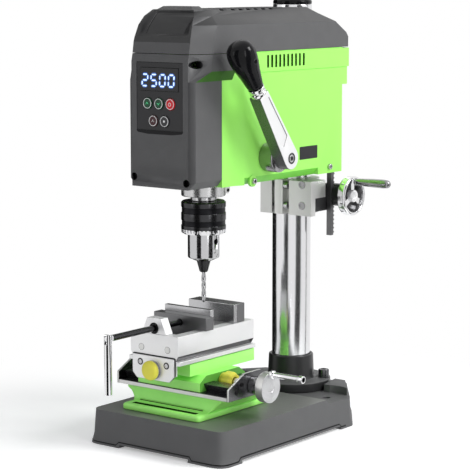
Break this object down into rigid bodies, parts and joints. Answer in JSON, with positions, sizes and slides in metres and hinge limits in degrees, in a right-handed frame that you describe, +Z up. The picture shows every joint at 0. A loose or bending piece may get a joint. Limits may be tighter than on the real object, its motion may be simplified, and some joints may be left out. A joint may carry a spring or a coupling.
{
  "type": "benchtop drill press",
  "caption": "Benchtop drill press: cast base, round column, lifting belt-driven head with feed lever and keyed chuck, and a cross-slide vise on the table.",
  "frame": {"origin": "on the floor under the middle of the machine's overall box", "axes": "+Z up along the column and spindle, the operator stands at -Y and looks along +Y, +X to the operator's right where the feed lever is"},
  "size_m": [0.2413, 0.3763, 0.5003],
  "materials": {
    "black_casting": "satin paint",
    "black_plastic": "matte",
    "grey_plastic": "matte",
    "green_paint": "gloss paint",
    "chrome": "polished",
    "steel": "brushed",
    "aluminium": "machined",
    "white_casting": "satin",
    "yellow_plastic": "satin",
    "blue_display": "lit window",
    "green_button": "satin",
    "red_button": "satin",
    "belt_rubber": "matte"
  },
  "bodies": {
    "frame": {"base_casting": "black_casting", "column_foot": "black_casting", "foot_bolt_1": "steel", "foot_bolt_2": "steel", "foot_bolt_3": "steel", "column": "chrome", "column_cap": "black_plastic", "vise_base": "green_paint", "vise_x_rail": "steel", "rail_end_left": "steel", "rail_end_right": "steel"},
    "bracket": {"clamp_bracket": "aluminium", "clamp_screw_1": "steel", "clamp_screw_2": "steel", "pinion_housing": "black_casting"},
    "lift_wheel": {"lift_pinion": "steel", "lift_handwheel": "chrome"},
    "lift_crank": {"lift_crank_handle": "chrome"},
    "head": {"head_body": "green_paint", "front_cover": "black_plastic", "top_lid": "black_plastic", "control_panel": "grey_plastic", "display_window": "blue_display", "cord_gland": "black_plastic", "motor": "steel", "drive_belt": "belt_rubber", "height_rack": "steel"},
    "button_up": {"button_up": "green_button"},
    "button_down": {"button_down": "green_button"},
    "button_power": {"button_power": "red_button"},
    "button_stop": {"button_stop": "red_button"},
    "button_mode": {"button_mode": "black_plastic"},
    "motor_rotor": {"motor_pulley": "steel"},
    "upper_pulley": {"spindle_pulley": "steel"},
    "quill": {"quill": "chrome"},
    "spindle": {"spindle": "steel", "chuck_body": "chrome", "drill_bit": "steel"},
    "sleeve": {"chuck_sleeve": "black_casting"},
    "chuck_jaw_1": {"chuck_jaw_1": "steel"},
    "chuck_jaw_2": {"chuck_jaw_2": "steel"},
    "chuck_jaw_3": {"chuck_jaw_3": "steel"},
    "lever": {"feed_pinion": "steel", "feed_lever": "white_casting", "lever_collar": "chrome", "lever_grip": "black_plastic"},
    "x_screw": {"x_handwheel": "steel"},
    "x_crank": {"x_crank_handle": "steel"},
    "saddle": {"vise_saddle": "green_paint", "saddle_knob": "yellow_plastic"},
    "slide": {"vise_slide": "white_casting", "slide_front_plate": "white_casting", "screw_support": "white_casting", "fixed_jaw": "black_casting", "fixed_jaw_plate": "steel"},
    "slide_knob": {"slide_knob": "yellow_plastic"},
    "jaw": {"moving_jaw": "black_casting", "moving_jaw_plate": "steel"},
    "jaw_screw": {"jaw_screw": "steel"},
    "jaw_handle": {"jaw_handle": "steel"}
  },
  "joints": [
    {"name": "bracket_swivel", "type": "hinge", "parent": "frame", "child": "bracket", "pos_m": [-0.0217, 0.1309, 0.2475], "axis": [0, 0, 1], "range_deg": [-30, 30]},
    {"name": "head_lift", "type": "slide", "parent": "bracket", "child": "head", "axis": [0, 0, 1], "range_m": [0, 0.04]},
    {"name": "lift_wheel_turn", "type": "hinge", "parent": "bracket", "child": "lift_wheel", "pos_m": [0.0373, 0.1581, 0.268], "axis": [1, 0, 0], "range_deg": [-442, 0]},
    {"name": "lift_crank_spin", "type": "hinge", "parent": "lift_wheel", "child": "lift_crank", "pos_m": [0.0373, 0.1581, 0.2852], "axis": [1, 0, 0], "continuous": true},
    {"name": "button_up_press", "type": "slide", "parent": "head", "child": "button_up", "axis": [0, 1, 0], "range_m": [0, 0.001], "stiffness_N_per_m": 300, "springref_m": -0.001},
    {"name": "button_down_press", "type": "slide", "parent": "head", "child": "button_down", "axis": [0, 1, 0], "range_m": [0, 0.001], "stiffness_N_per_m": 300, "springref_m": -0.001},
    {"name": "button_power_press", "type": "slide", "parent": "head", "child": "button_power", "axis": [0, 1, 0], "range_m": [0, 0.001], "stiffness_N_per_m": 300, "springref_m": -0.001},
    {"name": "button_stop_press", "type": "slide", "parent": "head", "child": "button_stop", "axis": [0, 1, 0], "range_m": [0, 0.001], "stiffness_N_per_m": 300, "springref_m": -0.001},
    {"name": "button_mode_press", "type": "slide", "parent": "head", "child": "button_mode", "axis": [0, 1, 0], "range_m": [0, 0.001], "stiffness_N_per_m": 300, "springref_m": -0.001},
    {"name": "quill_feed", "type": "slide", "parent": "head", "child": "quill", "axis": [0, 0, -1], "range_m": [0, 0.032], "stiffness_N_per_m": 400, "springref_m": -0.15},
    {"name": "feed_lever_turn", "type": "hinge", "parent": "head", "child": "lever", "pos_m": [-0.0217, 0.0124, 0.3253], "axis": [1, 0, 0], "range_deg": [0, 78]},
    {"name": "spindle_spin", "type": "hinge", "parent": "quill", "child": "spindle", "pos_m": [-0.0217, -0.0379, 0.282], "axis": [0, 0, 1], "continuous": true},
    {"name": "upper_pulley_spin", "type": "hinge", "parent": "head", "child": "upper_pulley", "pos_m": [-0.0217, -0.0379, 0.455], "axis": [0, 0, 1], "continuous": true},
    {"name": "motor_spin", "type": "hinge", "parent": "head", "child": "motor_rotor", "pos_m": [-0.0217, 0.0641, 0.436], "axis": [0, 0, 1], "continuous": true},
    {"name": "chuck_sleeve_turn", "type": "hinge", "parent": "spindle", "child": "sleeve", "pos_m": [-0.0217, -0.0379, 0.2393], "axis": [0, 0, 1], "range_deg": [0, 720]},
    {"name": "chuck_jaw_1_slide", "type": "slide", "parent": "spindle", "child": "chuck_jaw_1", "axis": [0.1294, 0.2241, 0.9659], "range_m": [0, 0.004]},
    {"name": "chuck_jaw_2_slide", "type": "slide", "parent": "spindle", "child": "chuck_jaw_2", "axis": [-0.2588, 0, 0.9659], "range_m": [0, 0.004]},
    {"name": "chuck_jaw_3_slide", "type": "slide", "parent": "spindle", "child": "chuck_jaw_3", "axis": [0.1294, -0.2241, 0.9659], "range_m": [0, 0.004]},
    {"name": "x_travel", "type": "slide", "parent": "frame", "child": "saddle", "axis": [1, 0, 0], "range_m": [-0.026, 0.022]},
    {"name": "x_screw_turn", "type": "hinge", "parent": "frame", "child": "x_screw", "pos_m": [0.0663, -0.0409, 0.0745], "axis": [1, 0, 0], "range_deg": [-2341, 1981]},
    {"name": "x_crank_spin", "type": "hinge", "parent": "x_screw", "child": "x_crank", "pos_m": [0.0763, -0.0409, 0.0895], "axis": [1, 0, 0], "continuous": true},
    {"name": "y_travel", "type": "slide", "parent": "saddle", "child": "slide", "axis": [0, 1, 0], "range_m": [-0.04, 0.012]},
    {"name": "slide_knob_turn", "type": "hinge", "parent": "slide", "child": "slide_knob", "pos_m": [-0.0374, -0.1069, 0.0915], "axis": [0, 1, 0], "range_deg": [-3601, 1081]},
    {"name": "jaw_travel", "type": "slide", "parent": "slide", "child": "jaw", "axis": [0, 1, 0], "range_m": [-0.03, 0.0365]},
    {"name": "jaw_screw_turn", "type": "hinge", "parent": "jaw", "child": "jaw_screw", "pos_m": [-0.0374, -0.1779, 0.1385], "axis": [0, 1, 0], "range_deg": [-2701, 3286]},
    {"name": "jaw_handle_fold", "type": "hinge", "parent": "jaw_screw", "child": "jaw_handle", "pos_m": [-0.0374, -0.1839, 0.1385], "axis": [-1, 0, 0], "range_deg": [0, 90]}
  ],
  "couplings": [
    {"joint": "lift_wheel_turn", "follows": "head_lift", "rad_per_m": -192.31},
    {"joint": "feed_lever_turn", "follows": "quill_feed", "rad_per_m": 42.373},
    {"joint": "upper_pulley_spin", "follows": "spindle_spin", "ratio": 1},
    {"joint": "motor_spin", "follows": "spindle_spin", "ratio": 1.5},
    {"joint": "chuck_jaw_1_slide", "follows": "chuck_sleeve_turn", "m_per_rad": 0.000318},
    {"joint": "chuck_jaw_2_slide", "follows": "chuck_sleeve_turn", "m_per_rad": 0.000318},
    {"joint": "chuck_jaw_3_slide", "follows": "chuck_sleeve_turn", "m_per_rad": 0.000318},
    {"joint": "x_screw_turn", "follows": "x_travel", "rad_per_m": 1570.8},
    {"joint": "slide_knob_turn", "follows": "y_travel", "rad_per_m": 1570.8},
    {"joint": "jaw_screw_turn", "follows": "jaw_travel", "rad_per_m": 1570.8}
  ]
}
